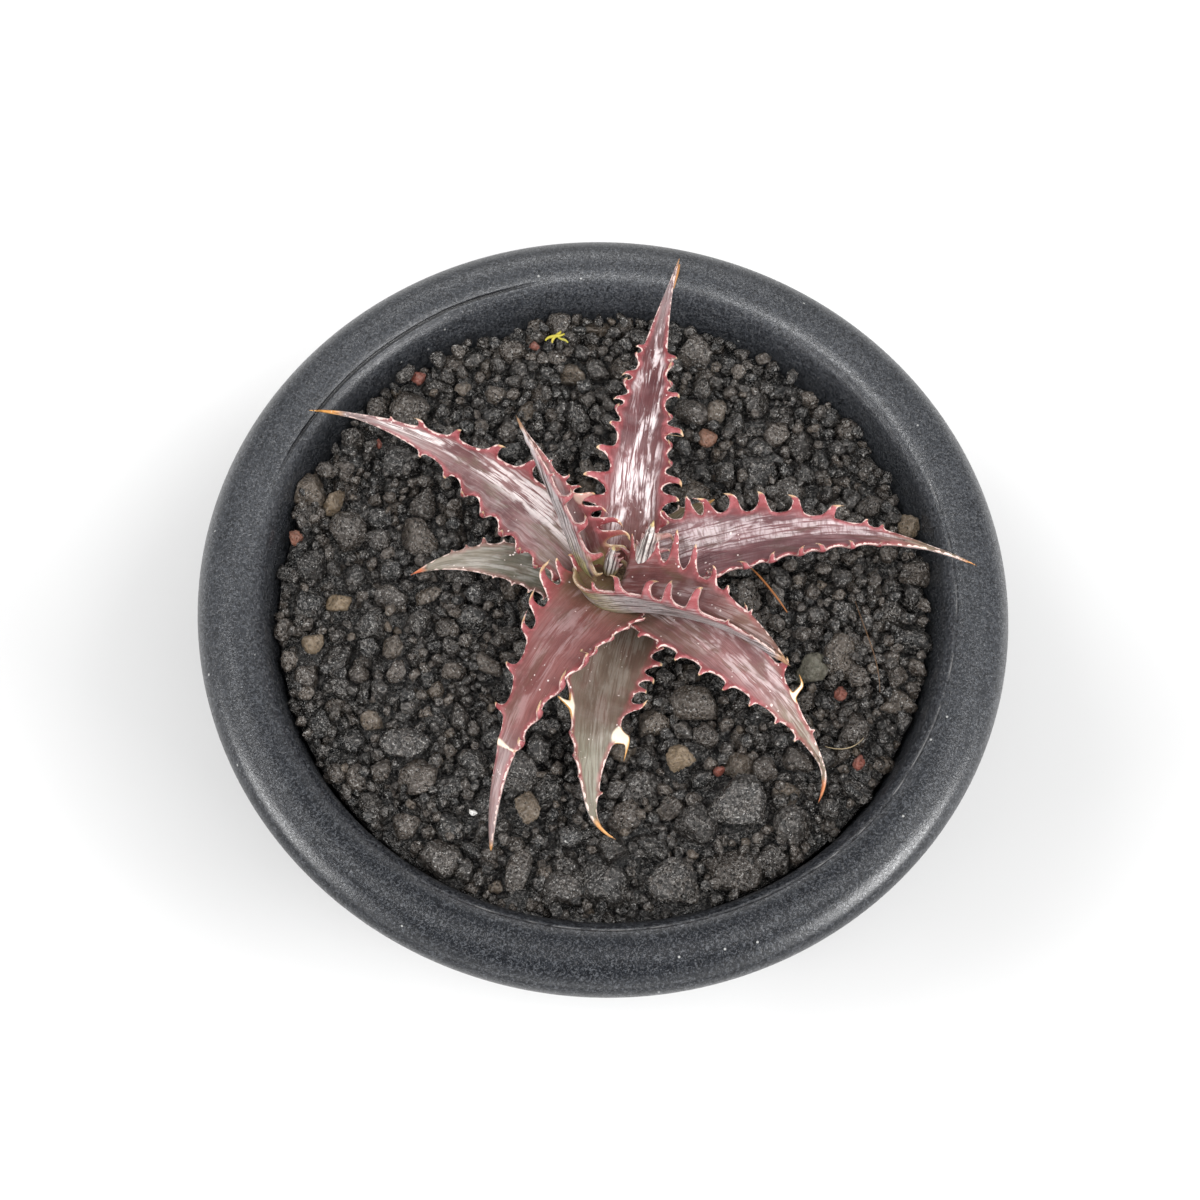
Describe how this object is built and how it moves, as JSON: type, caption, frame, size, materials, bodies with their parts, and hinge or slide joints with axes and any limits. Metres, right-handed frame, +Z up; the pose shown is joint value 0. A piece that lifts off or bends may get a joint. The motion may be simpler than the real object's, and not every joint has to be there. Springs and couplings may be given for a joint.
{
  "type": "dyckia bromeliad in a pot",
  "caption": "Rosette of stiff, toothed, arching bromeliad leaves in a round pot with a wide rolled rim, filled with black lava gravel.",
  "frame": {"origin": "on the surface that the pot stands on, under the middle of the pot", "axes": "+Z up, along the axis of the pot; -Y is the side with the old front leaf, +X is to the right of it"},
  "size_m": [0.12, 0.12, 0.1121],
  "materials": {
    "pot_plastic": "fine grained, satin",
    "gravel": "porous, damp",
    "stone_dark": "porous, matte",
    "stone_tan": "matte",
    "stem": "rough",
    "leaf_mauve": "waxy, satin",
    "leaf_silver": "waxy with pale scurf",
    "leaf_olive": "waxy, satin"
  },
  "bodies": {
    "root": {"pot": "pot_plastic", "gravel_bed": "gravel", "stone_large_right": "stone_dark", "stone_large_front": "stone_dark", "stone_slab_left": "stone_dark", "stone_pebble_grey": "stone_dark", "stone_tan_right": "stone_tan", "stone_tan_front": "stone_tan", "stem": "stem", "leaf_heart_short": "leaf_silver", "leaf_heart_tall": "leaf_silver", "leaf_upright_left": "leaf_mauve", "leaf_upright_right": "leaf_mauve", "leaf_front_left": "leaf_mauve", "leaf_back": "leaf_mauve", "leaf_right": "leaf_mauve", "leaf_back_left": "leaf_mauve", "leaf_front_right": "leaf_mauve", "leaf_front": "leaf_olive", "leaf_back_right_old": "leaf_olive", "leaf_left_old": "leaf_olive"}
  },
  "joints": []
}
